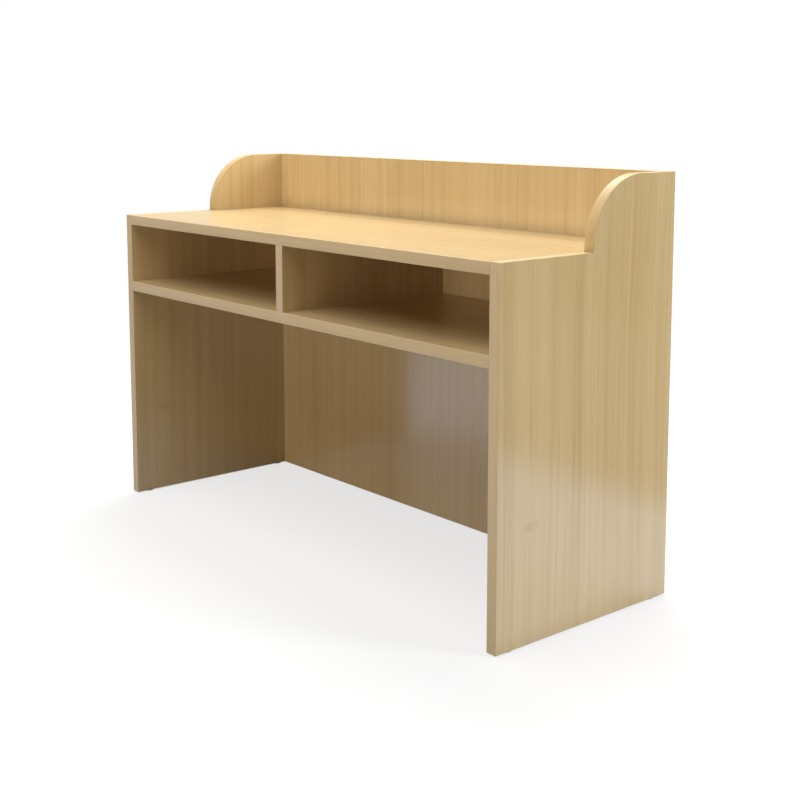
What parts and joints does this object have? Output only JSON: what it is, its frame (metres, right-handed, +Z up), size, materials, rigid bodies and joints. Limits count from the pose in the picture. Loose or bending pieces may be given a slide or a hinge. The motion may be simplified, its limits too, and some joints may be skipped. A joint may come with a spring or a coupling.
{
  "type": "training table",
  "caption": "Panel-sided training table with a raised back between rounded wings, open compartments between worktop and shelf, and a clear knee space below.",
  "frame": {"origin": "on the floor, under the middle of the table", "axes": "+X to the right seen from the sitter's side, along the table's length; +Y from the sitter towards the raised back; +Z up"},
  "size_m": [1.4, 0.5, 0.9],
  "materials": {
    "oak_laminate": "satin melamine with a printed light oak grain",
    "edge_band": "plastic edge band with a faint oak grain",
    "cast_zinc": "die-cast zinc",
    "plated_steel": "zinc-plated steel",
    "sleeve_plastic": "moulded nylon",
    "cap_plastic": "moulded plastic",
    "beech": "bare fluted dowel",
    "glide_plastic": "moulded nylon"
  },
  "bodies": {
    "root": {"left_side_panel": "oak_laminate", "right_side_panel": "oak_laminate", "desktop": "oak_laminate", "shelf": "oak_laminate", "centre_divider": "oak_laminate", "back_panel": "oak_laminate", "desktop_front_band": "edge_band", "shelf_front_band": "edge_band", "divider_front_band": "edge_band", "back_top_band": "edge_band", "back_bottom_band": "edge_band", "left_front_band": "edge_band", "right_front_band": "edge_band", "left_ledge_band": "edge_band", "right_ledge_band": "edge_band", "left_wing_band": "edge_band", "right_wing_band": "edge_band", "left_rear_band": "edge_band", "right_rear_band": "edge_band", "left_bottom_band": "edge_band", "right_bottom_band": "edge_band", "cam_housings": "cast_zinc", "connecting_bolts": "plated_steel", "insert_sleeves": "sleeve_plastic", "cover_caps": "cap_plastic", "wooden_dowels": "beech", "floor_glides": "glide_plastic", "glide_nails": "plated_steel"}
  },
  "joints": []
}
